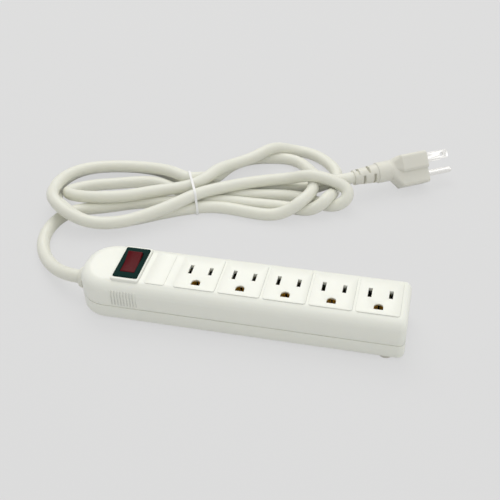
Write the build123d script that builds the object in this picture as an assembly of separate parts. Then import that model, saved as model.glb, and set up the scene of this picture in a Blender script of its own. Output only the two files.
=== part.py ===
from build123d import *
import math
import os

# Power strip: five earthed outlets, a lit rocker switch, a cord wound into a tied hank, and an earthed plug.
# Millimetres. The origin is on the surface that the strip stands on, under the middle of its housing.
# +X runs along the strip away from the cord, +Y points away from the earth holes, +Z is up.

# ---- housing
strip_length = 208.0
strip_width = 44.0
foot_stand = 2.0            # how far the feet lift the housing
base_height = 10.0          # underside to seam
cover_height = 17.5         # seam to the flat top
wall = 2.0
cord_end_radius = 20.0      # plan corners where the cord enters
free_end_radius = 4.5       # all round the far end
shoulder_radius = 8.0       # long top edges
base_edge_radius = 1.5
seam_reveal = 0.7           # width and height of the shadow groove at the seam
lip_thickness = 0.9         # rim of the base that stands inside the cover
lip_height = 2.0
lip_root = 3.0              # depth of the rim's root below the seam
lip_gap = 0.15
running_gap = 0.3           # between pieces that move past each other
fit_gap = 0.1               # between pieces that are pushed together
thread_gap = 0.05           # between pieces that grip each other
edge_tolerance = 0.01       # how close an edge lies to the plane that it is picked by

seam_z = foot_stand + base_height
top_z = seam_z + cover_height
floor_z = foot_stand + wall
half_length = strip_length / 2
half_width = strip_width / 2
cord_end_x = -half_length

# ---- outlets (15 A earthed pattern)
outlet_count = 5
outlet_pitch = 28.0
outlet_middle_x = half_length - 74.0
slot_line_y = 2.5           # the blade slots lie on this line
pad_length = 26.0
pad_width = 31.0
pad_rise = 0.5
pad_corner = 1.5
blade_spacing = 12.7        # between the two blade slots
earth_offset = 11.9         # from the slots' line to the earth hole's centre
slot_width = 2.4
live_slot_length = 7.0
neutral_slot_length = 8.3
earth_hole_radius = 2.8
earth_hole_flat = 2.4       # from the earth hole's centre to its flat side
earth_hole_rim = 1.1        # thickness of the pad round the earth hole
label_length = 12.5
label_gap = 6.0             # between the label pad and the first outlet pad
label_rise = 0.3

# ---- contact rails
rail_thickness = 0.8
rail_end_reach = 4.0        # past the first cradle, for the wires
rail_bottom_z = 11.0
rail_top_z = 21.0
leaf_thickness = 0.5
leaf_gap = 1.3
leaf_bottom_z = 13.0
leaf_top_z = top_z - 4.1
live_rail_y = slot_line_y - 7.3
neutral_rail_y = slot_line_y + 7.5
earth_rail_y = slot_line_y - 15.3
earth_clip_bore = 2.9
earth_clip_wall = 0.5
earth_clip_split = 1.0
earth_recess_top_z = top_z + pad_rise - earth_hole_rim
earth_clip_top_z = earth_recess_top_z - running_gap
cradle_length = 3.0
cradle_width = 4.0
cradle_top_z = 15.0

# ---- switch
switch_x = cord_end_x + 33.5
platform_length = 18.0      # along the strip
platform_width = 33.0       # across it
platform_top_z = top_z + 1.5
platform_chamfer = 0.4
bezel_length = 16.0
bezel_width = 29.0
bezel_thickness = 0.8
bezel_chamfer = 0.3
switch_body_length = 12.8
switch_body_width = 25.0
switch_wall = 1.5
switch_end_wall = 2.6
switch_bottom_z = platform_top_z - 14.5
switch_floor = 1.5
rocker_length = 9.2         # along the pivot
rocker_half_width = 8.9     # pivot to each end
rocker_end_height = 4.6     # above the pivot
rocker_valley_height = 3.2
rocker_underside = 1.5      # below the pivot
rocker_undercut = 1.8
rocker_edge = 1.4           # upright part of each end
rocker_edge_radius = 0.6
rocker_tilt = 9.0           # either side of level
pivot_z = platform_top_z - 2.5
trunnion_radius = 1.2
trunnion_reach = 1.1
trunnion_gap = 0.05
trunnion_end_gap = 0.2
plunger_radius = 1.4
plunger_drop = 7.0          # pivot to plunger tip
plunger_boss_radius = 2.5
plunger_boss_drop = 2.5
plunger_roof = 2.4          # rocker left above the plunger's bore
spring_wire = 0.3
spring_gap = 0.02
spring_turns = 6
contact_half_width = 8.0
contact_length = 4.0
contact_thickness = 0.8
contact_tilt = 5.0
contact_pivot_z = pivot_z - 8.2
terminal_length = 4.8
terminal_thickness = 0.8
terminal_bottom_z = switch_bottom_z - 6.0
terminal_reach = 7.0        # from the middle terminal to each outer one
lamp_radius = 1.4
lamp_length = 5.4
resistor_radius = 1.1
resistor_length = 5.0
lamp_y = 5.6

# ---- feet and screws
foot_radius = 4.5
foot_socket_depth = 1.0
foot_edge_radius = 1.0
feet_at = [(cord_end_x + 24.0, 13.5), (cord_end_x + 24.0, -13.5), (half_length - 11.0, 16.8),
           (half_length - 11.0, -16.8)]
screws_at = [(cord_end_x + 16.0, 12.0), (cord_end_x + 16.0, -12.0),
             (outlet_middle_x - 1.5 * outlet_pitch, 15.5), (outlet_middle_x + 0.5 * outlet_pitch, 15.5),
             (half_length - 7.0, 0.0)]
screw_radius = 1.4
screw_head_radius = 2.8
screw_head_height = 1.9
screw_length = 14.0
screw_recess_radius = 3.1
screw_recess_depth = 2.7
screw_seat_z = foot_stand + screw_recess_depth
screw_hole_gap = 0.2
cross_width = 0.6
boss_radius = 4.2
boss_top_z = 9.2
post_radius = 3.0
keyholes_at = [switch_x + 20.5, outlet_middle_x + 24.0]
keyhole_radius = 4.0
keyhole_slot_radius = 2.2
keyhole_slot_reach = 8.0

# ---- grip ribs beside the switch
rib_count = 9
rib_pitch = 2.0
rib_width = 0.9
rib_rise = 0.35
rib_low_z = 14.0
rib_high_z = top_z - 4.5

# ---- cord, gland and inner clamp
cord_diameter = 9.0
cord_z = 13.5
jacket_bore = cord_diameter / 2 + fit_gap
gland_mouth = 0.7           # how far the bore opens at the outer end
gland_neck_radius = 6.4
gland_flare_radius = 7.8
gland_tip_radius = 6.5
gland_reach = 3.5           # outside the housing
gland_flange = 1.6
gland_seat = 0.35           # inner flange to the wall's inside
jacket_end_x = cord_end_x + 15.0
clamp_x = cord_end_x + 7.5
clamp_length = 4.0
clamp_width = 18.0
clamp_top_z = 19.5
clamp_split_z = 11.0
clamp_screw_y = 6.9
clamp_screw_radius = 1.0
clamp_head_radius = 1.9
clamp_head_height = 1.4
clamp_screw_length = 12.0
clamp_hole_extra = 3.0
wire_lead = 2.7             # straight run at each end of a conductor
wire_radius = 1.3
lamp_wire_radius = 0.8

# The lead from inside the housing to the hank, and the tail from the hank to the plug.
lead_route = [(jacket_end_x, 0, cord_z), (cord_end_x - 9, 0, cord_z), (cord_end_x - 30, 12, 8),
              (cord_end_x - 45.5, 31, 5.2), (cord_end_x - 53.5, 53, 4.7), (cord_end_x - 50, 76, 4.7)]
tail_route = [(cord_end_x + 113, 134.2, 8), (cord_end_x + 127, 135.2, 12)]
tail_straight = 16.0        # along the plug's axis, into its relief

# ---- hank
hank_bottom_z = 1.0
hank_height = 24.5
waist_height = 19.5
waist_at = (cord_end_x + 39.7, 113.0)
waist_heading = 24.7        # degrees, along the hank
waist_width = 36.0
waist_length = 14.0
tie_width = 3.0
tie_thickness = 0.7
twist_radius = 0.8
# Corners of the two lobes: x from the housing's cord end, y from its middle line.
hank_outline = [(-73, 98), (-71, 116), (-58, 137), (-33, 144), (-1, 144), (26, 138), (44, 150),
                (64, 178), (86, 198), (112, 201), (132, 188), (147, 169), (150, 150), (162, 137),
                (162, 120), (146, 106), (118, 98), (80, 98), (52, 98), (30, 76), (6, 56), (-20, 50),
                (-46, 57), (-64, 76)]
hank_corner_radius = 6.0

# ---- plug (15 A earthed), on its own axis: x from cord to blades, y away from the earth pin
plug_heading = 30.4
plug_roll = 50.0
plug_at = (cord_end_x + 155.3, 146.1)
relief_length = 18.4
relief_start_radius = 5.6
relief_end_radius = 7.0
relief_slot_width = 2.0
relief_slot_depth = 3.0
relief_slots = 4
relief_slot_turn = 45.0     # degrees about the axis
relief_slot_share = 0.62    # slot's half reach over the relief's radius
collar_length = 11.0
collar_radius = 7.8
plug_neck_length = 6.5
plug_body_length = 21.5
plug_blade_side_y = 9.2
plug_earth_side_y = -14.6
plug_thick = 22.0           # at the blades
plug_thin = 16.0            # at the earth pin
plug_step_y = -4.0
plug_corner = 2.5
plug_edge_radius = 0.8
bridge_inset = 1.5
bridge_length = 9.0
bridge_margin = 4.6
blade_line_y = 4.0
blade_width = 6.35
blade_thickness = 1.5
blade_reach = 18.3
blade_root = 12.0
blade_hole_radius = 1.6
blade_hole_from_tip = 5.3
blade_tip_chamfer = 1.2
earth_pin_radius = 2.4
earth_pin_reach = 22.0

outlet_xs = [outlet_middle_x + outlet_pitch * (i - (outlet_count - 1) / 2) for i in range(outlet_count)]
first_pad_x = outlet_xs[0] - pad_length / 2
rail_start_x = outlet_xs[0] - outlet_pitch / 2 - rail_end_reach


def block(x_range, y_range, z_range):
    """Box between the given limits."""
    size = [b - a for a, b in (x_range, y_range, z_range)]
    middle = [(a + b) / 2 for a, b in (x_range, y_range, z_range)]
    return Pos(*middle) * Box(*size)


def rod(x, y, z_low, z_high, radius):
    """Upright cylinder between two heights."""
    return Pos(x, y, (z_low + z_high) / 2) * Cylinder(radius, z_high - z_low)


def rod_x(x_low, x_high, y, z, radius):
    """Cylinder along the strip."""
    return Pos((x_low + x_high) / 2, y, z) * Rot(0, 90, 0) * Cylinder(radius, x_high - x_low)


def rounded_route(points):
    """Straight runs joined by the largest tangent arcs that the runs allow."""
    corners = [Vector(*p) for p in points]
    radii = []
    for before, here, after in zip(corners, corners[1:], corners[2:]):
        turn = (here - before).get_angle(after - here)
        shorter = min((here - before).length, (after - here).length)
        radii.append(0.45 * shorter / math.tan(math.radians(turn / 2)))
    return FilletPolyline(*corners, radius=radii), radii


def tube(points, radius, name=None):
    """Round tube along a route. A name prints its bend radii and compares its volume."""
    path, radii = rounded_route(points)
    section = Plane(origin=path @ 0, z_dir=path % 0) * Circle(radius)
    solid = sweep(section, path=path)
    if name:
        print(name, "radii", [round(r, 1) for r in radii], "length", round(path.length, 1),
              "volume ratio", round(solid.volume / (path.length * math.pi * radius ** 2), 4))
    return solid


def edges_at(shape, axis, place):
    """Edges of a shape that lie in one plane across an axis."""
    return shape.edges().filter_by_position(axis, place - edge_tolerance, place + edge_tolerance)


def at_height(shape, z):
    """Edges of a shape that lie at one height."""
    return edges_at(shape, Axis.Z, z)


def cover_form(inset, z_low, z_high):
    """Upper housing drawn in by inset, with round shoulders that are smaller at the far end."""
    end_x = half_length - inset
    overhang = 3 * shoulder_radius
    outline = Rectangle(strip_length + overhang - inset, strip_width - 2 * inset)
    outline = Pos((overhang + inset) / 2, 0) * outline
    outline = fillet(outline.vertices().group_by(Axis.X)[0], cord_end_radius - inset)
    form = extrude(Plane.XY.offset(z_low) * outline, z_high - z_low)
    rim = [e for e in at_height(form, z_high) if e.center().X < half_length + overhang - 1]
    form = fillet(rim, shoulder_radius - inset)
    form -= block((end_x, end_x + 2 * overhang), (-strip_width, strip_width), (z_low - 1, z_high + 1))
    end_edges = [e for e in edges_at(form, Axis.X, end_x) if e.center().Z > z_low + edge_tolerance]
    return fillet(end_edges, free_end_radius - inset)


def base_form(inset, z_low, z_high, edge_radius=0):
    """Lower housing drawn in by inset, with a small round along its underside."""
    outline = Rectangle(strip_length - 2 * inset, strip_width - 2 * inset)
    ends = outline.vertices().group_by(Axis.X)
    outline = fillet(ends[0], cord_end_radius - inset)
    outline = fillet(outline.vertices().group_by(Axis.X)[-1], free_end_radius - inset)
    form = extrude(Plane.XY.offset(z_low) * outline, z_high - z_low)
    if edge_radius:
        form = fillet(at_height(form, z_low), edge_radius)
    return form


def earth_hole(x, z_low, z_high):
    """Earth-pin opening: round, with a flat towards -Y."""
    y = slot_line_y - earth_offset
    z_range = (z_low, z_high)
    x_range = (x - earth_hole_radius, x + earth_hole_radius)
    hole = rod(x, y, z_low, z_high, earth_hole_radius)
    hole += block(x_range, (y - earth_hole_flat, y), z_range)
    return hole - block(x_range, (y - 2 * earth_hole_radius, y - earth_hole_flat), z_range)


def make_top_cover():
    """Cover with outlet pads, sockets, switch platform, grip ribs and screw posts."""
    cavity = cover_form(wall, seam_z - 1, top_z - wall)
    cover = cover_form(0, seam_z, top_z)
    cover -= (base_form(-0.1, seam_z, seam_z + seam_reveal)
              - base_form(seam_reveal, seam_z - 1, seam_z + seam_reveal + 1))
    for x in outlet_xs:
        pad = Pos(x, 0) * RectangleRounded(pad_length, pad_width, pad_corner)
        cover += extrude(Plane.XY.offset(top_z - 1) * pad, 1 + pad_rise)
    label_x = first_pad_x - label_gap - label_length / 2
    label = Pos(label_x, 0) * RectangleRounded(label_length, pad_width, pad_corner)
    cover += extrude(Plane.XY.offset(top_z - 1) * label, 1 + label_rise)
    platform = Pos(switch_x, 0) * RectangleRounded(platform_length, platform_width, pad_corner)
    platform_root_z = top_z - shoulder_radius
    platform = extrude(Plane.XY.offset(platform_root_z) * platform, platform_top_z - platform_root_z)
    cover += chamfer(at_height(platform, platform_top_z), platform_chamfer)
    cover += make_grip_ribs()
    cover -= cavity
    for x, y in screws_at:
        cover += rod(x, y, boss_top_z, top_z - 1, post_radius)
        cover -= rod(x, y, boss_top_z, screw_seat_z + screw_length + 1, screw_radius + thread_gap)
    for x in outlet_xs:
        socket_z = (top_z - wall - 1, top_z + pad_rise + 1)
        for side, length in ((1, live_slot_length), (-1, neutral_slot_length)):
            slot_x = x + side * blade_spacing / 2
            slot_y = (slot_line_y - length / 2, slot_line_y + length / 2)
            cover -= block((slot_x - slot_width / 2, slot_x + slot_width / 2), slot_y, socket_z)
        cover -= earth_hole(x, *socket_z)
        cover -= rod(x, slot_line_y - earth_offset, top_z - wall - 1, earth_recess_top_z,
                     earth_clip_bore + earth_clip_wall + running_gap)
    reach_x = switch_body_length / 2 + fit_gap
    reach_y = switch_body_width / 2 + fit_gap
    opening_z = (seam_z, platform_top_z + 1)
    cover -= block((switch_x - reach_x, switch_x + reach_x), (-reach_y, reach_y), opening_z)
    return cover - gland_opening()


def gland_opening():
    """Hole for the gland's neck, with a seat for its inner flange."""
    seat_x = -half_length + wall + gland_seat
    neck = rod_x(-half_length - 5, seat_x, 0, cord_z, gland_neck_radius + fit_gap)
    return neck + rod_x(seat_x, seat_x + gland_flange + 1, 0, cord_z, gland_flare_radius + fit_gap)


def make_grip_ribs():
    """Fine upright ribs that stand out of both sides and follow the shoulder."""
    skin = cover_form(-rib_rise, rib_low_z, top_z + rib_rise)
    ribs = Part()
    for i in range(rib_count):
        x = switch_x + rib_pitch * (i - (rib_count - 1) / 2)
        for side in (-1, 1):
            y_range = sorted((side * (half_width - 4), side * (half_width + 2)))
            ribs += block((x - rib_width / 2, x + rib_width / 2), y_range, (rib_low_z, rib_high_z))
    return ribs & skin


def make_base_cover():
    """Tray with rim, screw bosses, rail cradles, cord saddle, hanging slots and foot sockets."""
    base = base_form(0, foot_stand, seam_z, base_edge_radius)
    base -= base_form(wall, floor_z, seam_z + 1)
    rim_inner = wall + lip_gap + lip_thickness
    rim = base_form(wall - 0.1, seam_z - lip_root, seam_z)
    rim += base_form(wall + lip_gap, seam_z - lip_root, seam_z + lip_height)
    base += rim - base_form(rim_inner, seam_z - lip_root - 1, seam_z + lip_height + 1)
    for x, y in screws_at:
        boss = rod(x, y, foot_stand + 1, boss_top_z, boss_radius)
        base += boss & base_form(wall / 2, foot_stand, top_z)
        base -= rod(x, y, foot_stand - 1, screw_seat_z, screw_recess_radius)
        base -= rod(x, y, foot_stand, boss_top_z + 1, screw_radius + screw_hole_gap)
        base -= rod(x, y, boss_top_z, seam_z + lip_height + 1, post_radius + fit_gap)
    for x in [outlet_xs[0] - outlet_pitch / 2 + outlet_pitch * i for i in range(outlet_count + 1)]:
        for y in (live_rail_y, neutral_rail_y, earth_rail_y):
            x_range = (x - cradle_length / 2, x + cradle_length / 2)
            y_range = (y - cradle_width / 2, y + cradle_width / 2)
            post = block(x_range, y_range, (floor_z - 0.5, cradle_top_z))
            slot_half = rail_thickness / 2 + fit_gap
            post -= block(x_range, (y - slot_half, y + slot_half), (rail_bottom_z, cradle_top_z + 1))
            base += post & base_form(rim_inner - 0.2, foot_stand, top_z)
    saddle_x = (clamp_x - clamp_length / 2, clamp_x + clamp_length / 2)
    saddle = block(saddle_x, (-clamp_width / 2, clamp_width / 2), (floor_z - 0.5, clamp_split_z))
    saddle -= rod_x(clamp_x - clamp_length, clamp_x + clamp_length, 0, cord_z, jacket_bore)
    hole_bottom_z = clamp_top_z - clamp_screw_length - clamp_hole_extra
    for side in (-1, 1):
        saddle -= rod(clamp_x, side * clamp_screw_y, hole_bottom_z, clamp_split_z + 1,
                      clamp_screw_radius + thread_gap)
    base += saddle
    base -= gland_opening()
    for x in keyholes_at:
        base -= rod(x, 0, foot_stand - 1, floor_z + 1, keyhole_radius)
        base -= block((x, x + keyhole_slot_reach), (-keyhole_slot_radius, keyhole_slot_radius),
                      (foot_stand - 1, floor_z + 1))
        base -= rod(x + keyhole_slot_reach, 0, foot_stand - 1, floor_z + 1, keyhole_slot_radius)
    for x, y in feet_at:
        base -= rod(x, y, foot_stand - 1, foot_stand + foot_socket_depth, foot_radius)
    return base


def make_feet():
    """Four round rubber feet seated in the base."""
    foot = rod(0, 0, 0, foot_stand + foot_socket_depth, foot_radius)
    foot = fillet(at_height(foot, 0), foot_edge_radius)
    return Compound([Pos(x, y, 0) * foot for x, y in feet_at])


def make_screw(radius, head_radius, head_height, length):
    """Pan-head screw, head down: seat at z 0, shank up. The drive is a cross recess."""
    screw = rod(0, 0, -head_height, 0, head_radius) + rod(0, 0, 0, length, radius)
    screw = chamfer(at_height(screw, length), radius * 0.5)
    screw = fillet(at_height(screw, -head_height), head_height * 0.4)
    for turn in (0, 90):
        recess = Box(head_radius * 1.2, cross_width, head_height)
        screw -= Pos(0, 0, -head_height) * Rot(0, 0, turn) * recess
    return screw


def make_cover_screws():
    screw = make_screw(screw_radius, screw_head_radius, screw_head_height, screw_length)
    return Compound([Pos(x, y, screw_seat_z) * screw for x, y in screws_at])


def make_clamp_screws():
    screw = make_screw(clamp_screw_radius, clamp_head_radius, clamp_head_height, clamp_screw_length)
    screw = Rot(180, 0, 0) * screw
    return Compound([Pos(clamp_x, side * clamp_screw_y, clamp_top_z) * screw for side in (-1, 1)])


def make_cord_clamp():
    """Bar that holds the jacket down on the saddle."""
    x_range = (clamp_x - clamp_length / 2, clamp_x + clamp_length / 2)
    bar = block(x_range, (-clamp_width / 2, clamp_width / 2), (clamp_split_z + running_gap, clamp_top_z))
    bar -= rod_x(clamp_x - clamp_length, clamp_x + clamp_length, 0, cord_z, jacket_bore)
    bar -= block(x_range, (-jacket_bore, jacket_bore), (clamp_split_z - 1, cord_z))
    for side in (-1, 1):
        bar -= rod(clamp_x, side * clamp_screw_y, clamp_split_z - 1, clamp_top_z + 1,
                   clamp_screw_radius + fit_gap)
    return bar


def make_cord_gland():
    """Strain relief: flared outside, necked in the wall, flanged inside, with a bore that opens outwards."""
    outer = -half_length - gland_reach
    face = -half_length - running_gap / 2
    neck_end = -half_length + wall + gland_seat
    flange_end = neck_end + gland_flange
    bore = jacket_bore
    profile = Polyline((outer, bore + gland_mouth), (outer, gland_tip_radius), (face, gland_flare_radius),
                       (face, gland_neck_radius), (neck_end, gland_neck_radius),
                       (neck_end, gland_flare_radius), (flange_end, gland_flare_radius), (flange_end, bore),
                       (neck_end, bore), close=True)
    gland = revolve(make_face(Plane.XZ * profile), Axis.X)
    return Pos(0, 0, cord_z) * gland


def make_switch_housing():
    """Snap-in switch body: bezel, walls, floor with terminal slots, and pivot sockets in the side walls."""
    opening_y = switch_body_width / 2 - switch_end_wall
    opening_x = switch_body_length / 2 - switch_wall
    bezel_top = platform_top_z + bezel_thickness
    bezel = extrude(Plane.XY.offset(platform_top_z) * RectangleRounded(bezel_length, bezel_width, 1.0),
                    bezel_thickness)
    bezel = chamfer(at_height(bezel, bezel_top), bezel_chamfer)
    body = bezel + block((-switch_body_length / 2, switch_body_length / 2),
                         (-switch_body_width / 2, switch_body_width / 2), (switch_bottom_z, platform_top_z))
    floor_top = switch_bottom_z + switch_floor
    body -= block((-opening_x, opening_x), (-opening_y, opening_y), (floor_top, bezel_top + 1))
    slot_x = terminal_length / 2 + thread_gap
    slot_y = terminal_thickness / 2 + thread_gap
    for y in terminal_ys():
        body -= block((-slot_x, slot_x), (y - slot_y, y + slot_y), (switch_bottom_z - 1, floor_top + 1))
    socket_reach = rocker_length / 2 + trunnion_reach + trunnion_end_gap
    body -= rod_x(-socket_reach, socket_reach, 0, pivot_z, trunnion_radius + trunnion_gap)
    return Pos(switch_x, 0, 0) * body


def terminal_ys():
    return (-terminal_reach, 0, terminal_reach)


def make_switch_terminals():
    """Three blades through the floor: lamp return, common with the knife edge, and switched live."""
    contact_drop = terminal_reach * math.sin(math.radians(contact_tilt))
    tops = (switch_bottom_z + switch_floor + 0.5, contact_pivot_z - fit_gap,
            contact_pivot_z - contact_drop - 2 * fit_gap)
    blades = []
    for y, top in zip(terminal_ys(), tops):
        blade = block((-terminal_length / 2, terminal_length / 2),
                      (y - terminal_thickness / 2, y + terminal_thickness / 2), (terminal_bottom_z, top))
        blades.append(Pos(switch_x, 0, 0) * blade)
    return Compound(blades)


def in_rocker(piece):
    """Place a piece that is drawn level about the pivot into the rocker's rest tilt: the -Y end is down."""
    return Pos(switch_x, 0, pivot_z) * Rot(rocker_tilt, 0, 0) * piece


def make_rocker():
    """Rocker with a shallow valley on top, trunnions, a plunger boss, and pockets for lamp and resistor."""
    low_y = rocker_half_width - rocker_undercut
    edge_z = rocker_end_height - rocker_edge
    side = Polyline((0, rocker_valley_height), (rocker_half_width, rocker_end_height),
                    (rocker_half_width, edge_z), (low_y, -rocker_underside), (-low_y, -rocker_underside),
                    (-rocker_half_width, edge_z), (-rocker_half_width, rocker_end_height), close=True)
    body = extrude(Plane.YZ * make_face(side), rocker_length / 2, both=True)
    ends = [e for e in at_height(body, rocker_end_height)
            if abs(abs(e.center().Y) - rocker_half_width) < edge_tolerance]
    body = fillet(ends, rocker_edge_radius)
    body += rod(0, 0, -rocker_underside - plunger_boss_drop, -rocker_underside + 1, plunger_boss_radius)
    trunnion_end = rocker_length / 2 + trunnion_reach
    body += rod_x(-trunnion_end, trunnion_end, 0, 0, trunnion_radius)
    body -= rod(0, 0, -plunger_drop, plunger_seat(), plunger_radius + fit_gap)
    pockets = ((-lamp_y, lamp_radius, lamp_length), (lamp_y, resistor_radius, resistor_length))
    for y, radius, length in pockets:
        half_x = length / 2 + fit_gap
        half_y = radius + fit_gap
        pocket_z = (-rocker_underside - 1, -rocker_underside + 2 * half_y)
        body -= block((-half_x, half_x), (y - half_y, y + half_y), pocket_z)
    return in_rocker(body)


def plunger_seat():
    """Top of the plunger bore, above the pivot."""
    return rocker_valley_height - plunger_roof


def plunger_top():
    return -rocker_underside - 0.6


def make_plunger():
    """Round-nosed pin that pushes the rocking contact."""
    pin = rod(0, 0, -plunger_drop, plunger_top(), plunger_radius)
    pin = fillet(at_height(pin, -plunger_drop), plunger_radius * 0.9)
    return in_rocker(pin)


def make_plunger_spring():
    """Coil spring between the plunger and the top of its bore."""
    low = plunger_top() + spring_wire + spring_gap
    height = plunger_seat() - low - spring_wire - spring_gap
    coil = Helix(height / spring_turns, height, plunger_radius - spring_wire - fit_gap)
    section = Plane(origin=coil @ 0, z_dir=coil % 0) * Circle(spring_wire)
    return in_rocker(Pos(0, 0, low) * sweep(section, path=coil))


def make_pilot_lamp():
    """Small glass capsule that lies across the rocker."""
    straight = lamp_length - 2 * lamp_radius
    lamp = rod_x(-straight / 2, straight / 2, 0, 0, lamp_radius)
    for side in (-1, 1):
        lamp += Pos(side * straight / 2, 0, 0) * Sphere(lamp_radius)
    return in_rocker(Pos(0, -lamp_y, -rocker_underside + lamp_radius + fit_gap) * lamp)


def make_lamp_resistor():
    resistor = rod_x(-resistor_length / 2, resistor_length / 2, 0, 0, resistor_radius)
    resistor = fillet(resistor.edges(), 0.3)
    return in_rocker(Pos(0, lamp_y, -rocker_underside + resistor_radius + fit_gap) * resistor)


def make_switch_contact():
    """Rocking copper bar on the common terminal's edge, its +Y end down at rest."""
    bar = block((-contact_length / 2, contact_length / 2), (-contact_half_width, contact_half_width),
                (thread_gap, contact_thickness + thread_gap))
    return Pos(switch_x, 0, contact_pivot_z) * Rot(-contact_tilt, 0, 0) * bar


def rail_strip(y):
    """Flat brass strip that runs under all the outlets."""
    x_range = (rail_start_x, outlet_xs[-1] + blade_spacing)
    return block(x_range, (y - rail_thickness / 2, y + rail_thickness / 2), (rail_bottom_z, rail_top_z))


def make_blade_rail(rail_y, side):
    """Brass rail with a pair of spring leaves at each outlet. side is +1 for live, -1 for neutral."""
    rail = rail_strip(rail_y)
    far_y = slot_line_y + side * (live_slot_length if side > 0 else neutral_slot_length) / 2
    for x in outlet_xs:
        for lean in (-1, 1):
            middle = x + side * blade_spacing / 2 + lean * (leaf_gap + leaf_thickness) / 2
            leaf_x = (middle - leaf_thickness / 2, middle + leaf_thickness / 2)
            rail += block(leaf_x, sorted((rail_y, far_y)), (leaf_bottom_z, leaf_top_z))
    return rail


def make_earth_rail():
    """Brass rail with a split round clip under each earth hole."""
    rail = rail_strip(earth_rail_y)
    y = slot_line_y - earth_offset
    for x in outlet_xs:
        split_x = (x - earth_clip_split / 2, x + earth_clip_split / 2)
        clip = rod(x, y, leaf_bottom_z, earth_clip_top_z, earth_clip_bore + earth_clip_wall)
        clip -= rod(x, y, leaf_bottom_z - 1, earth_clip_top_z + 1, earth_clip_bore)
        clip -= block(split_x, (y, slot_line_y), (leaf_bottom_z - 1, earth_clip_top_z + 1))
        rail += clip
    return rail


def make_wires():
    """Insulated conductors from the jacket to the switch and rails, each ending square on its metal."""
    near_x = switch_x - terminal_length / 2
    far_x = switch_x + terminal_length / 2
    wire_z = terminal_bottom_z + 1.5
    low_z = floor_z + wire_radius + 0.3
    rail_z = rail_bottom_z + 3
    side_y = switch_body_width / 2 - 1
    under_switch = [(switch_x - 5, side_y, low_z), (far_x + 4, side_y, low_z)]
    routes = {
        "line_wire": from_jacket(-2.2, cord_z + 1)
        + [(jacket_end_x + 8, -1.5, cord_z), (near_x - wire_lead, 0, wire_z), (near_x, 0, wire_z)],
        "load_wire": from_terminal(far_x, terminal_reach, wire_z)
        + [(far_x + 9, 4, wire_z - 3), (rail_start_x - 7, -5, rail_z - 2)]
        + to_rail(live_rail_y, rail_z),
        "neutral_wire": from_jacket(2.2, cord_z + 1)
        + [(jacket_end_x + 8, 6.5, cord_z - 5), *under_switch, (rail_start_x - 7, 9, low_z + 3)]
        + to_rail(neutral_rail_y, rail_z),
        "earth_wire": from_jacket(0, cord_z - 2.4)
        + [(jacket_end_x + 8, -6.5, cord_z - 6), *[(x, -y, z) for x, y, z in under_switch],
           (rail_start_x - 7, -14.4, low_z + 3)]
        + to_rail(earth_rail_y, rail_z),
    }
    wires = {name: tube(points, wire_radius) for name, points in routes.items()}
    lamp_route = from_terminal(far_x, -terminal_reach, wire_z)
    lamp_route += [(far_x + 9, -3, wire_z + 3), (rail_start_x - 8, 8.5, rail_top_z - 4)]
    lamp_route += to_rail(neutral_rail_y, rail_top_z - 2)
    wires["lamp_wire"] = tube(lamp_route, lamp_wire_radius)
    return wires


def from_jacket(y, z):
    """A conductor's first straight run out of the jacket's end."""
    return [(jacket_end_x, y, z), (jacket_end_x + wire_lead, y, z)]


def from_terminal(x, y, z):
    """A conductor's first straight run off a switch terminal."""
    return [(x, y, z), (x + wire_lead, y, z)]


def to_rail(y, z):
    """A conductor's last straight run onto a rail's end."""
    return [(rail_start_x - wire_lead, y, z), (rail_start_x, y, z)]


def at_waist(piece):
    """Place a piece drawn about the hank's waist: its x runs along the hank."""
    return Pos(*waist_at, 0) * Rot(0, 0, waist_heading) * piece


def make_cord_hank():
    """Outer form of the wound cord: two lobes and the waist that the tie holds."""
    outline = make_face(Polyline(*[(cord_end_x + x, y) for x, y in hank_outline], close=True))
    outline = fillet(outline.vertices(), hank_corner_radius)
    lobes = extrude(Plane.XY.offset(hank_bottom_z) * outline, hank_height - hank_bottom_z)
    lobes -= at_waist(block((-waist_length / 2, waist_length / 2), (-80, 80), (0, hank_height + 1)))
    waist = block((-waist_length, waist_length), (-waist_width / 2, waist_width / 2),
                  (hank_bottom_z, waist_height))
    return lobes + at_waist(waist)


def make_cord_tie():
    """Wire tie round the waist, with its two ends twisted together on top."""
    half = waist_width / 2
    band = block((-tie_width / 2, tie_width / 2), (-half - tie_thickness, half + tie_thickness),
                 (hank_bottom_z - tie_thickness, waist_height + tie_thickness))
    band = fillet(band.edges().filter_by(Axis.X), tie_thickness * 0.9)
    band -= block((-tie_width, tie_width), (-half, half), (hank_bottom_z, waist_height))
    twist = rod_x(-1, waist_length / 2 - 1, 4, waist_height + tie_thickness + twist_radius / 2, twist_radius)
    return at_waist(band + twist)


def in_plug(piece):
    """Place a piece drawn on the plug's axis: rolled, turned to its heading, and resting on the surface."""
    return Pos(*plug_at, plug_z) * Rot(0, 0, plug_heading) * Rot(plug_roll, 0, 0) * piece


def plug_section(x, thick, y_low, y_high, corner):
    """Rounded cross-section of the plug at one station."""
    outline = RectangleRounded(y_high - y_low, thick, corner)
    return Plane.YZ.offset(x) * Pos((y_low + y_high) / 2, 0) * outline


def draw_relief():
    """Tapered relief with slots that alternate a quarter turn."""
    relief = Pos(relief_length / 2, 0, 0) * Rot(0, 90, 0) * Cone(relief_start_radius, relief_end_radius,
                                                               relief_length)
    pitch = relief_length / (relief_slots + 0.5)
    for i in range(relief_slots):
        x = pitch * (i + 0.75)
        radius = relief_start_radius + (relief_end_radius - relief_start_radius) * x / relief_length
        gap = (x - relief_slot_width / 2, x + relief_slot_width / 2)
        reach = (-radius * relief_slot_share, radius * relief_slot_share)
        for side in (-1, 1):
            across = sorted((side * (radius - relief_slot_depth), side * (radius + 1)))
            slot = block(gap, across, reach)
            relief -= Rot(relief_slot_turn + 90 * (i % 2), 0, 0) * slot
    return relief


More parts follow.
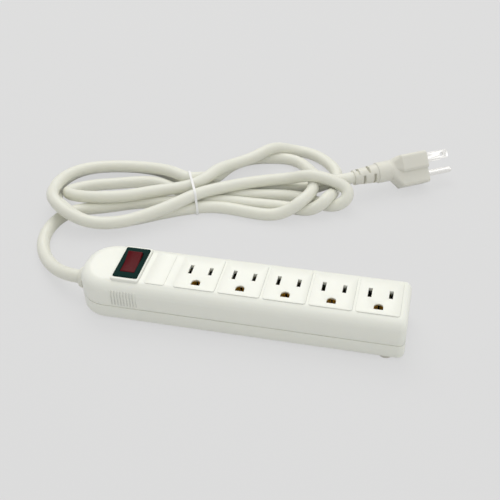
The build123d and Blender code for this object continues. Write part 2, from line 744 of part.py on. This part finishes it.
def draw_plug_body():
    """Moulded plug on its own axis: slotted relief, collar, shoulders and a stepped grip."""
    collar_end = relief_length + collar_length
    neck_end = collar_end + plug_neck_length
    face_x = neck_end + plug_body_length
    collar = rod_x(relief_length, collar_end, 0, 0, collar_radius)
    collar = fillet(collar.edges(), plug_edge_radius)
    thin = (plug_thin, plug_earth_side_y, plug_blade_side_y, plug_corner)
    thick = (plug_thick, plug_step_y, plug_blade_side_y, plug_corner)
    neck_start = Plane.YZ.offset(collar_end - 1) * Circle(collar_radius - plug_edge_radius)
    neck = loft([neck_start, plug_section(neck_end, *thin)])
    shoulder_start = plug_section(collar_end + 1, 2 * collar_radius - 4, 0, 5, 1.5)
    shoulder = loft([shoulder_start, plug_section(neck_end + 1, *thick)])
    grip = extrude(plug_section(neck_end, *thin), plug_body_length)
    grip += extrude(plug_section(neck_end + 1, *thick), plug_body_length - 1)
    body = draw_relief() + collar + neck + shoulder + grip
    return fillet(edges_at(body, Axis.X, face_x), plug_edge_radius), face_x


def draw_blade(face_x):
    """Flat plug blade with a locking hole, drawn at z 0 on the blades' line."""
    tip_x = face_x + blade_reach
    half_width = blade_width / 2
    blade = block((face_x - blade_root, tip_x), (blade_line_y - half_width, blade_line_y + half_width),
                  (-blade_thickness / 2, blade_thickness / 2))
    tips = [e for e in edges_at(blade, Axis.X, tip_x) if e.length < half_width]
    blade = chamfer(tips, blade_tip_chamfer)
    return blade - rod(tip_x - blade_hole_from_tip, blade_line_y, -2, 2, blade_hole_radius)


def draw_earth_pin(face_x):
    tip_x = face_x + earth_pin_reach
    pin = rod_x(face_x - blade_root, tip_x, 0, 0, earth_pin_radius)
    pin = fillet(edges_at(pin, Axis.X, tip_x), earth_pin_radius * 0.85)
    return Pos(0, blade_line_y - earth_offset, 0) * pin


def make_plug(body, face_x):
    """Plug body with its inner bridge, blades and earth pin, all placed on the surface."""
    blade = draw_blade(face_x)
    live = Pos(0, 0, blade_spacing / 2) * blade
    neutral = Pos(0, 0, -blade_spacing / 2) * blade
    earth = draw_earth_pin(face_x)
    bridge_start = face_x - blade_root + bridge_inset
    bridge_y = (blade_line_y - earth_offset - bridge_margin, blade_line_y + bridge_margin)
    half_thick = plug_thin / 2 - 1
    bridge = block((bridge_start, bridge_start + bridge_length), bridge_y, (-half_thick, half_thick))
    bridge = fillet(bridge.edges().filter_by(Axis.X), bridge_inset)
    metal = live + neutral + earth
    return {"plug_body": body - bridge - metal, "plug_bridge": bridge - metal, "plug_live_blade": live,
            "plug_neutral_blade": neutral, "plug_earth_pin": earth}


plug_drawing, plug_face_x = draw_plug_body()
plug_z = -(Rot(plug_roll, 0, 0) * plug_drawing).bounding_box().min.Z
print("plug axis height", round(plug_z, 2), "plug face", round(plug_face_x, 1))

nodes = {
    "top_cover": make_top_cover(),
    "base_cover": make_base_cover(),
    "feet": make_feet(),
    "cover_screws": make_cover_screws(),
    "switch_housing": make_switch_housing(),
    "switch_terminals": make_switch_terminals(),
    "switch_rocker": make_rocker(),
    "rocker_plunger": make_plunger(),
    "plunger_spring": make_plunger_spring(),
    "pilot_lamp": make_pilot_lamp(),
    "lamp_resistor": make_lamp_resistor(),
    "switch_contact": make_switch_contact(),
    "live_rail": make_blade_rail(live_rail_y, 1),
    "neutral_rail": make_blade_rail(neutral_rail_y, -1),
    "earth_rail": make_earth_rail(),
    "cord_gland": make_cord_gland(),
    "cord_clamp": make_cord_clamp(),
    "clamp_screws": make_clamp_screws(),
    "cord_lead": tube(lead_route, cord_diameter / 2, "lead"),
    "cord_hank": make_cord_hank(),
    "cord_tie": make_cord_tie(),
}
nodes.update(make_wires())
nodes.update({name: in_plug(piece) for name, piece in make_plug(plug_drawing, plug_face_x).items()})
heading = math.radians(plug_heading)
tail_x = plug_at[0] - tail_straight * math.cos(heading)
tail_y = plug_at[1] - tail_straight * math.sin(heading)
tail_route += [(tail_x, tail_y, plug_z), (*plug_at, plug_z)]
nodes["cord_tail"] = tube(tail_route, cord_diameter / 2, "tail")

os.makedirs("parts", exist_ok=True)
for name, piece in nodes.items():
    export_step(piece, f"parts/{name}.step")
print(len(nodes), "nodes")
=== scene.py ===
import bpy
import bmesh
import math
import numpy as np
from mathutils import Matrix, Vector


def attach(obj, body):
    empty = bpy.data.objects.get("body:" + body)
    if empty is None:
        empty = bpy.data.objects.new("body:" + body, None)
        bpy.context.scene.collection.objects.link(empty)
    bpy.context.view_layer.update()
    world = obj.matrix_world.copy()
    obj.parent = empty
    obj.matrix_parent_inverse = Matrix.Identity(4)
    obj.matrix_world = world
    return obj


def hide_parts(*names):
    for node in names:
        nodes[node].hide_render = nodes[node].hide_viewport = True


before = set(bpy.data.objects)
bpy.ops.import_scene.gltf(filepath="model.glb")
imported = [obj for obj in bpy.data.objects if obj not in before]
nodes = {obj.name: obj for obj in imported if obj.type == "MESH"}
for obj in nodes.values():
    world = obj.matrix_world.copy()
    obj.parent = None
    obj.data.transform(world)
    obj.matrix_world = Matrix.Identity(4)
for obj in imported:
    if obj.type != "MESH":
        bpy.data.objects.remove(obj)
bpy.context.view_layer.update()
mm = 0.001
print("frame loaded", len(nodes), "nodes")


# materials
def newMaterial(name):
    mat = bpy.data.materials.new(name)
    mat.use_nodes = True
    tree = mat.node_tree
    return mat, tree, tree.nodes["Principled BSDF"]


def addNode(tree, kind, **values):
    node = tree.nodes.new(kind)
    for key, value in values.items():
        if hasattr(node, key):
            setattr(node, key, value)
        else:
            node.inputs[key.replace("_", " ")].default_value = value
    return node


def noiseOn(tree, scale, detail=3.0):
    coords = addNode(tree, "ShaderNodeTexCoord")
    noise = addNode(tree, "ShaderNodeTexNoise", Scale=scale, Detail=detail)
    tree.links.new(coords.outputs["Object"], noise.inputs["Vector"])
    return noise


def plastic(name, colour, roughness, grain=2500, bump=0.02, mottle=0.02, scatter=0.0, specular=0.5,
            creaseShade=0.0):
    mat, tree, shader = newMaterial(name)
    broad = noiseOn(tree, 60)
    ramp = addNode(tree, "ShaderNodeMapRange")
    ramp.inputs["To Min"].default_value = roughness - 0.04
    ramp.inputs["To Max"].default_value = roughness + 0.05
    tree.links.new(broad.outputs["Fac"], ramp.inputs["Value"])
    tree.links.new(ramp.outputs["Result"], shader.inputs["Roughness"])
    mix = addNode(tree, "ShaderNodeMix", data_type="RGBA")
    mix.inputs["A"].default_value = (*[c * (1 - mottle) for c in colour], 1)
    mix.inputs["B"].default_value = (*[min(1, c * (1 + mottle)) for c in colour], 1)
    tree.links.new(broad.outputs["Fac"], mix.inputs["Factor"])
    surface = mix.outputs["Result"]
    # painted shade: an ambient-occlusion mask darkens the base colour in creases, seams, slots and round the
    # pads
    if creaseShade:
        creaseOcclusion = addNode(tree, "ShaderNodeAmbientOcclusion", samples=8, Distance=creaseShade)
        creaseOcclusion.only_local = True
        shadeFactor = addNode(tree, "ShaderNodeMapRange")
        shadeFactor.inputs["From Min"].default_value = 0.25
        shadeFactor.inputs["From Max"].default_value = 0.8
        shadeFactor.inputs["To Min"].default_value = 0.3
        tree.links.new(creaseOcclusion.outputs["AO"], shadeFactor.inputs["Value"])
        shade = addNode(tree, "ShaderNodeMix", data_type="RGBA", blend_type="MULTIPLY")
        shade.inputs["Factor"].default_value = 1.0
        tree.links.new(surface, shade.inputs["A"])
        tree.links.new(shadeFactor.outputs["Result"], shade.inputs["B"])
        surface = shade.outputs["Result"]
    tree.links.new(surface, shader.inputs["Base Color"])
    if bump:
        fine = noiseOn(tree, grain, 2.0)
        relief = addNode(tree, "ShaderNodeBump", Strength=bump, Distance=0.0002)
        tree.links.new(fine.outputs["Fac"], relief.inputs["Height"])
        tree.links.new(relief.outputs["Normal"], shader.inputs["Normal"])
    shader.inputs["Specular IOR Level"].default_value = specular
    if scatter:
        shader.inputs["Subsurface Weight"].default_value = scatter
        shader.inputs["Subsurface Radius"].default_value = (1.0, 0.9, 0.7)
        shader.inputs["Subsurface Scale"].default_value = 0.0012
    return mat


def metal(name, colour, roughness, streak=0.0):
    mat, tree, shader = newMaterial(name)
    shader.inputs["Metallic"].default_value = 1.0
    shader.inputs["Base Color"].default_value = (*colour, 1)
    noise = noiseOn(tree, 400)
    ramp = addNode(tree, "ShaderNodeMapRange")
    ramp.inputs["To Min"].default_value = max(0.02, roughness - 0.05 - streak)
    ramp.inputs["To Max"].default_value = roughness + 0.05 + streak
    tree.links.new(noise.outputs["Fac"], ramp.inputs["Value"])
    tree.links.new(ramp.outputs["Result"], shader.inputs["Roughness"])
    return mat


redSpec = {"colour": (0.1, 0.003, 0.006), "roughness": 0.3, "specular": 0.05, "transmission": 0.05,
           "ior": 1.5, "grain": 900, "bump": 0.03}


def redPlastic():
    mat, tree, shader = newMaterial("redTranslucent")
    shader.inputs["Base Color"].default_value = (*redSpec["colour"], 1)
    shader.inputs["Roughness"].default_value = redSpec["roughness"]
    shader.inputs["Specular IOR Level"].default_value = redSpec["specular"]
    shader.inputs["Transmission Weight"].default_value = redSpec["transmission"]
    shader.inputs["IOR"].default_value = redSpec["ior"]
    noise = noiseOn(tree, redSpec["grain"])
    relief = addNode(tree, "ShaderNodeBump", Strength=redSpec["bump"], Distance=0.0002)
    tree.links.new(noise.outputs["Fac"], relief.inputs["Height"])
    tree.links.new(relief.outputs["Normal"], shader.inputs["Normal"])
    return mat


bulbSpec = {"colour": (0.95, 0.75, 0.6), "transmission": 0.8, "grain": 300, "roughness": (0.05, 0.12)}


def bulbGlass():
    mat, tree, shader = newMaterial("bulbGlass")
    shader.inputs["Base Color"].default_value = (*bulbSpec["colour"], 1)
    shader.inputs["Transmission Weight"].default_value = bulbSpec["transmission"]
    noise = noiseOn(tree, bulbSpec["grain"])
    ramp = addNode(tree, "ShaderNodeMapRange")
    ramp.inputs["To Min"].default_value, ramp.inputs["To Max"].default_value = bulbSpec["roughness"]
    tree.links.new(noise.outputs["Fac"], ramp.inputs["Value"])
    tree.links.new(ramp.outputs["Result"], shader.inputs["Roughness"])
    return mat


look = {
    # housing and base carry painted shade in their creases (creaseShade is the reach of that darkening in
    # metres)
    "housing": plastic("warmWhite", (0.91, 0.92, 0.84), 0.3, scatter=0.08, creaseShade=0.0018),
    "base": plastic("warmWhiteBase", (0.9, 0.91, 0.83), 0.36, scatter=0.08, creaseShade=0.0018),
    "cord": plastic("creamJacket", (0.81, 0.81, 0.72), 0.42, grain=1600, bump=0.05, scatter=0.1),
    "plug": plastic("creamPlug", (0.76, 0.75, 0.67), 0.38, grain=1600, bump=0.03, scatter=0.1),
    "black": plastic("blackMoulding", (0.002, 0.022, 0.018), 0.5, bump=0.01, mottle=0.1, specular=0.04),
    "brass": metal("brassStrip", (0.98, 0.74, 0.2), 0.4, 0.05),
    "bronze": metal("bronzeLeaf", (0.1, 0.085, 0.05), 0.5, 0.05),
    "nickel": metal("nickelPlate", (0.93, 0.92, 0.89), 0.26),
    "zinc": metal("zincPlate", (0.6, 0.6, 0.6), 0.35),
    "foot": plastic("paleRubber", (0.66, 0.64, 0.57), 0.7),
    "tie": plastic("whiteTie", (0.9, 0.9, 0.89), 0.5),
    "wireBlack": plastic("blackInsulation", (0.02, 0.02, 0.02), 0.45),
    "wireWhite": plastic("whiteInsulation", (0.75, 0.75, 0.75), 0.45),
    "wireGreen": plastic("greenInsulation", (0.03, 0.3, 0.08), 0.45),
    "resistor": plastic("lacquer", (0.5, 0.35, 0.2), 0.4),
}
look["red"] = redPlastic()
look["bulb"] = bulbGlass()

wears = {
    "top_cover": "housing", "base_cover": "base", "feet": "foot", "cover_screws": "zinc",
    "switch_housing": "black", "switch_terminals": "brass", "switch_rocker": "red", "rocker_plunger": "black",
    "plunger_spring": "zinc", "pilot_lamp": "bulb", "lamp_resistor": "resistor", "switch_contact": "brass",
    "live_rail": "bronze", "neutral_rail": "bronze", "earth_rail": "brass", "cord_gland": "cord",
    "cord_clamp": "base", "clamp_screws": "zinc", "line_wire": "wireBlack", "load_wire": "wireBlack",
    "neutral_wire": "wireWhite", "earth_wire": "wireGreen", "lamp_wire": "wireWhite", "plug_body": "plug",
    "plug_bridge": "base", "plug_live_blade": "nickel", "plug_neutral_blade": "nickel",
    "plug_earth_pin": "nickel",
    "cord_lead": "cord", "cord_hank": "cord", "cord_tail": "cord", "cord_tie": "tie",
}


def dress(obj, key):
    obj.data.materials.clear()
    obj.data.materials.append(look[key])


for nodeName, key in wears.items():
    dress(nodes[nodeName], key)


def soften(obj, width, segments=2, angle=35):
    obj.data.shade_smooth()
    weld = obj.modifiers.new("weld", "WELD")
    weld.merge_threshold = 1e-6
    bevel = obj.modifiers.new("edge", "BEVEL")
    bevel.width = width
    bevel.segments = segments
    bevel.limit_method = "ANGLE"
    bevel.angle_limit = math.radians(angle)
    bevel.harden_normals = True
    bevel.use_clamp_overlap = True


print("materials ready")

# cord
cordRadius = 4.5
cordSpec = {"diameter": 2 * cordRadius * mm, "spacing": 4.5, "clear": 8.9, "rounds": 240, "calm": 10,
            "reach": 15.0,      # along the cord, before two points count as neighbours
            "near": 40,         # points further apart than this never meet
            "stack": 3.5,       # rise from which one strand lies over another
            "lift": 0.6, "share": 0.25, "step": 1.2, "recall": 0.012, "stiffness": 0.9,
            "heldAtGland": 7, "heldAtPlug": 4}
waist = {"at": (-64.3, 113.0), "heading": math.radians(24.7)}
slots = {"d": (-4.6, 5.2), "c": (2.4, 13.4), "b": (4.3, 5.2), "e": (-8.0, 13.2), "a": (11.0, 13.0),
         "f": (-13.2, 5.2), "g": (13.0, 5.2)}       # place of each pass through the tie: across, height


def atTie(name, along=0.0):
    across, height = slots[name]
    c, s = math.cos(waist["heading"]), math.sin(waist["heading"])
    return (waist["at"][0] + along * c - across * s, waist["at"][1] + along * s + across * c, height)


route = [(-89, 0, 13.5), (-101, 0, 13.5), (-113, 0.5, 13.3), (-122, 4, 11.5), (-132, 11.5, 8),
         (-143, 22, 5.2), (-151.5, 34.5, 4), (-156, 46.5, 4), (-156.3, 56, 4), (-155, 66, 4), (-152.6, 75, 4),
         (-147, 81, 4), (-139.5, 83.8, 4), (-131, 86, 4), (-119.5, 92, 4), (-104, 98.5, 4), (-85, 104, 4),
         atTie("d")]
# right: low front strand, round the outer loop and back over the top
route += [(-50, 116, 4.5), (-38, 114.5, 4.5), (-25, 113.5, 4.5), (-10, 114, 4.5), (5, 114.5, 4.5),
          (17, 113, 4.5), (26, 111.8, 6.5), (33, 113.5, 9.5), (37, 120.5, 11.5), (37.5, 130, 8.5),
          (36, 142, 4.5), (38, 154, 4), (37.6, 164.7, 4), (31.5, 174.5, 4), (20.1, 185.5, 4),
          (6.3, 192.5, 4.5), (-5, 189.5, 6), (-15.2, 181.5, 8.5), (-24, 172.5, 10.5), (-31.3, 164.2, 11.5),
          (-47.8, 147.9, 12), (-57, 130, 13.3)]
# left: over the low strand, tight fold, back along the floor
route += [atTie("c", -3), (-75, 113, 13), (-88.1, 106.6, 12), (-107.8, 95.5, 12), (-129.2, 89.4, 12),
          (-143, 89, 12), (-152.5, 91, 11), (-159, 96, 8.5), (-160, 103.5, 5.5), (-154, 110, 4),
          (-140.9, 116, 4), (-122, 122.5, 4), (-104.3, 127.5, 4), (-92, 127, 4), (-79, 120, 4), atTie("b")]
# right: along the floor, up round the near loop, back on top
route += [(-47, 120.5, 4.5), (-30, 123.5, 4.5), (-10, 127, 4.5), (5, 129, 4.5), (18, 128.5, 4.5),
          (30, 124, 4.6), (40, 120.5, 7), (47.5, 121.5, 9.5), (51.8, 126.5, 12), (51, 131, 14.5),
          (44.7, 133.5, 17), (36, 133.8, 18), (26, 134.6, 18), (16, 136.5, 16.5), (5.1, 137.5, 14.5),
          (-17.5, 132.6, 12.5), (-37.8, 121, 12.2), atTie("e", 2)]
# left: the top loop
route += [(-68.8, 94.5, 12), (-87.2, 80, 10), (-102, 69, 9.5), (-119, 63, 9.5), (-132.5, 62, 11.5),
          (-143.5, 62.5, 16), (-152, 67, 18), (-160, 80, 14), (-166.5, 93, 11), (-168.2, 103, 10),
          (-165.5, 117, 9.5), (-156.5, 128.5, 9.5), (-138.5, 135.5, 9.5), (-114.8, 138.7, 9.5),
          (-93.5, 136, 10.5), (-78, 130, 11.5), atTie("a")]
# right: inner loop, back along the front
route += [(-55, 131, 9), (-52, 150, 5), (-46, 163, 4), (-36, 172, 4), (-27, 177, 4), (-19.2, 177.7, 4),
          (-8, 180.7, 4), (1.1, 178.4, 4), (10.4, 171.2, 4), (17.5, 161, 5.5), (21.5, 151, 10),
          (22.8, 142, 12.4), (24, 133, 13), (23, 122.5, 13), (17.5, 111.5, 10.5), (7, 104.5, 5.5),
          (-6, 102.5, 4.5), (-22, 103, 4.5), (-40, 105.3, 4.5), atTie("f")]
# left: the low loop under the top one
route += [(-75, 93, 4), (-90, 84, 4), (-104.5, 75.5, 4), (-121.5, 69.5, 4), (-135, 68.5, 6), (-146, 69, 10.5),
          (-154.5, 73.5, 12), (-162.5, 86.5, 8.5), (-169, 99.5, 4.5), (-170.7, 109.5, 4), (-168, 123.5, 4),
          (-159, 135, 4), (-141, 142, 4), (-117.3, 145, 4), (-96, 142, 4), (-81, 133.5, 4), atTie("g")]
# to the plug
route += [(-47, 131, 4), (-25.7, 134.5, 4), (-3.1, 138.8, 4), (11.8, 141.6, 4), (20, 143, 4), (28, 143, 7.5),
          (35.5, 142, 12), (43, 141.8, 15), (51.3, 146.1, 15.3), (56.3, 149.03, 15.3)]


# a smooth curve through the route's points, cut into equal steps
def evenPoints(points, spacing):
    given = np.array(points, float)
    ends = np.vstack([2 * given[0] - given[1], given, 2 * given[-1] - given[-2]])
    fine = []
    for i in range(1, len(ends) - 2):
        quad = ends[i - 1:i + 3]
        knot = np.concatenate([[0], np.cumsum(np.linalg.norm(np.diff(quad, axis=0), axis=1) ** 0.5)])
        for t in np.linspace(knot[1], knot[2], 24, endpoint=False):
            level = [quad[k] for k in range(4)]
            for depth in (1, 2):
                level = [((knot[k + depth] - t) * level[k] + (t - knot[k]) * level[k + 1])
                         / (knot[k + depth] - knot[k]) for k in range(len(level) - 1)]
            fine.append(((knot[2] - t) * level[0] + (t - knot[1]) * level[1]) / (knot[2] - knot[1]))
    fine = np.array(fine + [given[-1]])
    travelled = np.concatenate([[0], np.cumsum(np.linalg.norm(np.diff(fine, axis=0), axis=1))])
    count = int(round(travelled[-1] / spacing))
    stations = np.linspace(0, travelled[-1], count + 1)
    return np.stack([np.interp(stations, travelled, fine[:, k]) for k in range(3)], 1)


# strands push each other apart, stay bendy and stay near the route
def settle(points):
    spacing, clear = cordSpec["spacing"], cordSpec["clear"]
    place = points.copy()
    count = len(place)
    i, j = np.triu_indices(count, int(math.ceil(cordSpec["reach"] / spacing)))
    near = np.linalg.norm(points[i] - points[j], axis=1) < cordSpec["near"]
    i, j = i[near], j[near]
    rise = points[i, 2] - points[j, 2]
    stacked = np.sign(rise) * (np.abs(rise) > cordSpec["stack"])
    free = np.ones((count, 1))
    free[:cordSpec["heldAtGland"]] = 0
    free[-cordSpec["heldAtPlug"]:] = 0

    def straighten():
        stiff = np.zeros_like(place)
        stiff[2:-2] = (-place[:-4] + 4 * place[1:-3] - 6 * place[2:-2] + 4 * place[3:-1] - place[4:]) / 16
        return cordSpec["stiffness"] * stiff * free

    for _ in range(cordSpec["rounds"]):
        gap = place[i] - place[j]
        distance = np.linalg.norm(gap, axis=1) + 1e-9
        hit = distance < clear
        way = gap[hit] / distance[hit, None]
        way[:, 2] += cordSpec["lift"] * stacked[hit]
        way /= np.linalg.norm(way, axis=1, keepdims=True) + 1e-9
        move = (clear - distance[hit])[:, None] * way * cordSpec["share"]
        push = np.zeros_like(place)
        np.add.at(push, i[hit], move)
        np.add.at(push, j[hit], -move)
        size = np.linalg.norm(push, axis=1, keepdims=True)
        place += push * np.minimum(1, cordSpec["step"] / (size + 1e-9)) * free
        place += straighten()
        place += cordSpec["recall"] * (points - place) * free
        place[:, 2] = np.maximum(place[:, 2], cordRadius)
    for _ in range(cordSpec["calm"]):
        place += straighten()
    place[:, 2] = np.maximum(place[:, 2], cordRadius)
    return place


line = settle(evenPoints(route, cordSpec["spacing"]))


def makeCord(points):
    curve = bpy.data.curves.new("cord", "CURVE")
    curve.dimensions = "3D"
    curve.bevel_depth = cordSpec["diameter"] / 2
    curve.bevel_resolution = 8
    curve.resolution_u = 4
    curve.use_fill_caps = True
    spline = curve.splines.new("NURBS")
    spline.points.add(len(points) - 1)
    for target, p in zip(spline.points, points):
        target.co = (p[0] * mm, p[1] * mm, p[2] * mm, 1)
    spline.order_u = 3
    spline.use_endpoint_u = True
    obj = bpy.data.objects.new("cord", curve)
    bpy.context.scene.collection.objects.link(obj)
    obj.data.materials.append(look["cord"])
    return obj


cord = makeCord(line)
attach(cord, "strip")
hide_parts("cord_lead", "cord_hank", "cord_tail")
print("cord made")

# tie
tieSpec = {"width": 1.8, "thick": 0.75, "gap": 0.05, "reach": 40, "leastSlant": 0.75, "ringPoints": 24,
           "edge": 0.0002}


# where each strand crosses the tie's plane, and a ring of points round each crossing
def tiePoints():
    c, s = math.cos(waist["heading"]), math.sin(waist["heading"])
    along = (line[:, 0] - waist["at"][0]) * c + (line[:, 1] - waist["at"][1]) * s
    across = -(line[:, 0] - waist["at"][0]) * s + (line[:, 1] - waist["at"][1]) * c
    cross = []
    for k in range(len(line) - 1):
        if along[k] * along[k + 1] <= 0 and abs(across[k]) < tieSpec["reach"]:
            f = along[k] / (along[k] - along[k + 1])
            step = line[k + 1] - line[k]
            slant = abs(step @ np.array([c, s, 0])) / np.linalg.norm(step)
            cross.append((across[k] + f * (across[k + 1] - across[k]), line[k, 2] + f * step[2], slant))
    low = tieSpec["gap"] + tieSpec["thick"]       # the tie stays above the floor
    ring = []
    for y, z, slant in cross:
        for turn in np.linspace(0, 2 * math.pi, tieSpec["ringPoints"], endpoint=False):
            ringY = y + cordRadius * math.cos(turn) / max(slant, tieSpec["leastSlant"])
            ring.append((ringY, max(z + cordRadius * math.sin(turn), low)))
    return cross, ring


def hull(points):
    points = sorted(set(points))

    def half(side):
        out = []
        for p in side:
            while len(out) > 1 and ((out[-1][0] - out[-2][0]) * (p[1] - out[-2][1])
                                    - (out[-1][1] - out[-2][1]) * (p[0] - out[-2][0])) <= 0:
                out.pop()
            out.append(p)
        return out[:-1]
    return half(points) + half(points[::-1])


strands, ringPoints = tiePoints()
print("passes at the tie", [(round(a, 1), round(b, 1)) for a, b, _ in strands])
outline = hull([(round(y, 4), round(z, 4)) for y, z in ringPoints])


def makeTie():
    mesh = bpy.data.meshes.new("tie")
    work = bmesh.new()
    count = len(outline)
    grow = tieSpec["gap"]
    loops = []
    for k, (y, z) in enumerate(outline):
        before, after = outline[k - 1], outline[(k + 1) % count]
        tangent = Vector((after[0] - before[0], after[1] - before[1])).normalized()
        normal = Vector((tangent.y, -tangent.x))
        section = []
        for x, off in ((-0.5, 0), (-0.5, 1), (0.5, 1), (0.5, 0)):
            reach = grow + off * tieSpec["thick"]
            section.append(work.verts.new((x * tieSpec["width"], y + normal.x * reach, z + normal.y * reach)))
        loops.append(section)
    for k in range(count):
        a, b = loops[k], loops[(k + 1) % count]
        for m in range(4):
            n = (m + 1) % 4
            work.faces.new((a[m], b[m], b[n], a[n]))
    bmesh.ops.recalc_face_normals(work, faces=work.faces)
    turn = Matrix.Translation((waist["at"][0], waist["at"][1], 0)) @ Matrix.Rotation(waist["heading"], 4, "Z")
    bmesh.ops.transform(work, matrix=Matrix.Scale(mm, 4) @ turn, verts=work.verts)
    work.to_mesh(mesh)
    work.free()
    obj = bpy.data.objects.new("tie", mesh)
    bpy.context.scene.collection.objects.link(obj)
    dress(obj, "tie")
    soften(obj, tieSpec["edge"])
    return obj


tie = makeTie()
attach(tie, "strip")
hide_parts("cord_tie")
print("tie made")

# edges of the hard pieces
for nodeName, width in {"top_cover": 0.35, "base_cover": 0.25, "switch_housing": 0.2, "switch_rocker": 0.2,
                        "cord_gland": 0.3, "plug_body": 0.5, "plug_live_blade": 0.12,
                        "plug_neutral_blade": 0.12}.items():
    soften(nodes[nodeName], width * mm)

# floor, lights, camera
floorSpec = {"size": 6.0, "colour": (0.72, 0.72, 0.72), "seen": (0.731, 0.731, 0.731), "share": 0.8}


def straightRays(tree):          # camera, glossy and transmission rays
    paths = addNode(tree, "ShaderNodeLightPath")
    total = paths.outputs["Is Camera Ray"]
    for other in ("Is Glossy Ray", "Is Transmission Ray"):
        either = addNode(tree, "ShaderNodeMath", operation="MAXIMUM")
        tree.links.new(total, either.inputs[0])
        tree.links.new(paths.outputs[other], either.inputs[1])
        total = either.outputs["Value"]
    return total


def makeFloor():
    bpy.ops.mesh.primitive_plane_add(size=floorSpec["size"], location=(0, 0, 0))
    obj = bpy.context.object
    obj.name = "floor"
    mat, tree, shader = newMaterial("studioFloor")
    shader.inputs["Base Color"].default_value = (*floorSpec["colour"], 1)
    shader.inputs["Roughness"].default_value = 0.9
    shader.inputs["Specular IOR Level"].default_value = 0.1
    share = addNode(tree, "ShaderNodeMath", operation="MULTIPLY")
    tree.links.new(straightRays(tree), share.inputs[0])
    share.inputs[1].default_value = floorSpec["share"]
    glow = addNode(tree, "ShaderNodeEmission", Strength=1.0)
    glow.inputs["Color"].default_value = (*floorSpec["seen"], 1)
    mix = addNode(tree, "ShaderNodeMixShader")
    tree.links.new(share.outputs["Value"], mix.inputs["Fac"])
    tree.links.new(shader.outputs["BSDF"], mix.inputs[1])
    tree.links.new(glow.outputs["Emission"], mix.inputs[2])
    tree.links.new(mix.outputs["Shader"], tree.nodes["Material Output"].inputs["Surface"])
    obj.data.materials.append(mat)
    return obj


floor = makeFloor()


lampAim = (0, 0.05, 0)
lamps = {
    "key": {"power": 9.6, "size": 1.2, "place": (-0.35, 0.9, 1.3), "colour": (1, 0.99, 0.96)},
    "top": {"power": 5.8, "size": 1.6, "place": (0.3, 0.0, 1.6), "colour": (1, 1, 1)},
    "front": {"power": 1.6, "size": 1.4, "place": (0.5, -1.3, 0.6), "colour": (0.98, 0.99, 0.97)},
    "end": {"power": 1.5, "size": 0.8, "place": (1.4, 0.1, 0.45), "colour": (1, 1, 1)},
}


def areaLight(name, power, size, place, colour):
    data = bpy.data.lights.new(name, "AREA")
    data.energy = power
    data.size = size
    data.color = colour
    obj = bpy.data.objects.new(name, data)
    obj.location = place
    obj.rotation_euler = (Vector(lampAim) - Vector(place)).to_track_quat("-Z", "Y").to_euler()
    bpy.context.scene.collection.objects.link(obj)


for lampName, lamp in lamps.items():
    areaLight(lampName, **lamp)

scene = bpy.context.scene
world = bpy.data.worlds.new("studio")
scene.world = world
world.use_nodes = True
worldSpec = {"light": (0.9, 0.9, 0.9), "strength": 0.55, "seen": (0.731, 0.731, 0.731)}


def lightWorld():
    tree = world.node_tree
    lit = tree.nodes["Background"]
    lit.inputs["Color"].default_value = (*worldSpec["light"], 1)
    lit.inputs["Strength"].default_value = worldSpec["strength"]
    backdrop = addNode(tree, "ShaderNodeBackground", Strength=1.0)
    backdrop.inputs["Color"].default_value = (*worldSpec["seen"], 1)
    mix = addNode(tree, "ShaderNodeMixShader")
    tree.links.new(straightRays(tree), mix.inputs["Fac"])
    tree.links.new(lit.outputs["Background"], mix.inputs[1])
    tree.links.new(backdrop.outputs["Background"], mix.inputs[2])
    tree.links.new(mix.outputs["Shader"], tree.nodes["World Output"].inputs["Surface"])


lightWorld()
scene.view_settings.view_transform = "Standard"

cameraSpec = {"place": (0.102913, -0.380216, 0.364587), "azimuth": 14.201, "elevation": 38.507,
              "roll": -1.929, "lens": 60.26, "sensor": 36, "shiftY": 0.002, "nearest": 0.01}


def makeCamera():
    az, el, roll = (math.radians(cameraSpec[k]) for k in ("azimuth", "elevation", "roll"))
    back = Vector((math.sin(az) * math.cos(el), -math.cos(az) * math.cos(el), math.sin(el)))
    right = Vector((0, 0, 1)).cross(back).normalized()
    up = back.cross(right)
    side = math.cos(roll) * right + math.sin(roll) * up
    head = -math.sin(roll) * right + math.cos(roll) * up
    data = bpy.data.cameras.new("camera")
    data.lens = cameraSpec["lens"]
    data.sensor_width = cameraSpec["sensor"]
    data.shift_y = cameraSpec["shiftY"]
    data.clip_start = cameraSpec["nearest"]
    obj = bpy.data.objects.new("camera", data)
    turn = Matrix((side, head, back)).transposed().to_4x4()
    obj.matrix_world = Matrix.Translation(cameraSpec["place"]) @ turn
    scene.collection.objects.link(obj)
    scene.camera = obj


makeCamera()
print("stage ready")
